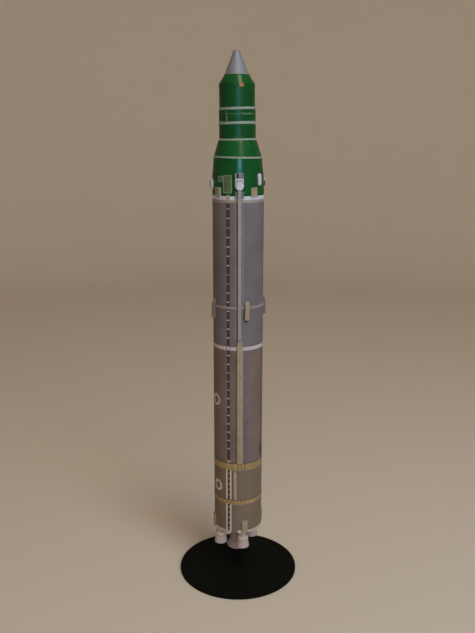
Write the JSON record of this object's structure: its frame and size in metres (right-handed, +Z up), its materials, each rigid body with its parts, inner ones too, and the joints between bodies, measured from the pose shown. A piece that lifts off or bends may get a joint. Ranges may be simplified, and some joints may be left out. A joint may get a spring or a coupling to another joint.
{
  "type": "card display model of a two-stage rocket on a round stand",
  "caption": "Slim rocket display model: long grey cylinder with raceway, bands and nozzle cluster, green stepped top with silver nose cone, held on a rod over a round black disc.",
  "frame": {"origin": "centre of the stand disc's underside, on the surface it stands on", "axes": "+Z up along the rocket's axis, -Y to the front with the raceway, +X to the right seen from the front"},
  "size_m": [0.0784, 0.0784, 0.3347],
  "materials": {
    "stand": "black satin",
    "white_card": "printed card, satin",
    "pale_grey_card": "printed card, satin",
    "nozzle_card": "printed card, satin",
    "grey_card": "printed card, satin",
    "gold_card": "printed card, satin",
    "cream_card": "printed card, satin",
    "tan_card": "printed card, satin",
    "green_card": "printed card, varnished",
    "silver_card": "silver paint on card"
  },
  "bodies": {
    "root": {"base_disc": "stand", "stand_rod": "stand", "tail_trim_ring": "white_card", "tail_bulkhead": "pale_grey_card", "core_nozzle": "nozzle_card", "nozzle_bell_1": "nozzle_card", "nozzle_bell_2": "nozzle_card", "nozzle_bell_3": "nozzle_card", "nozzle_bell_4": "nozzle_card", "nozzle_chamber_1": "nozzle_card", "nozzle_chamber_2": "nozzle_card", "nozzle_chamber_3": "nozzle_card", "nozzle_chamber_4": "nozzle_card", "tail_section": "grey_card", "mid_section": "grey_card", "first_stage_tube": "grey_card", "first_stage_top": "grey_card", "second_stage_tube": "grey_card", "lower_band": "gold_card", "upper_band": "gold_card", "white_ring": "white_card", "interstage_ring": "tan_card", "joint_ring_lower": "cream_card", "joint_ring_upper": "white_card", "equipment_bay": "green_card", "bay_ring": "cream_card", "flare_cone": "green_card", "flare_ring": "cream_card", "payload_lower": "green_card", "payload_ring_low": "cream_card", "payload_middle": "green_card", "payload_ring_high": "cream_card", "payload_upper": "green_card", "shoulder_cone": "green_card", "nose_cone": "silver_card", "tail_fairing_1": "tan_card", "tail_fairing_2": "tan_card", "tail_fairing_3": "tan_card", "tail_fairing_4": "tan_card", "separation_motor_1": "tan_card", "separation_motor_2": "tan_card", "separation_motor_3": "tan_card", "separation_motor_4": "tan_card", "raceway_lower": "tan_card", "raceway_upper": "tan_card", "lower_strip": "pale_grey_card", "connector_box": "white_card", "window_box": "white_card", "connector_tab_left": "pale_grey_card", "connector_tab_right": "pale_grey_card", "high_pod_1": "white_card", "high_pod_2": "white_card", "low_pod_1": "white_card", "low_pod_2": "white_card", "bay_foot_1": "tan_card", "bay_foot_2": "tan_card", "bay_foot_3": "tan_card", "bay_foot_4": "tan_card"}
  },
  "joints": []
}
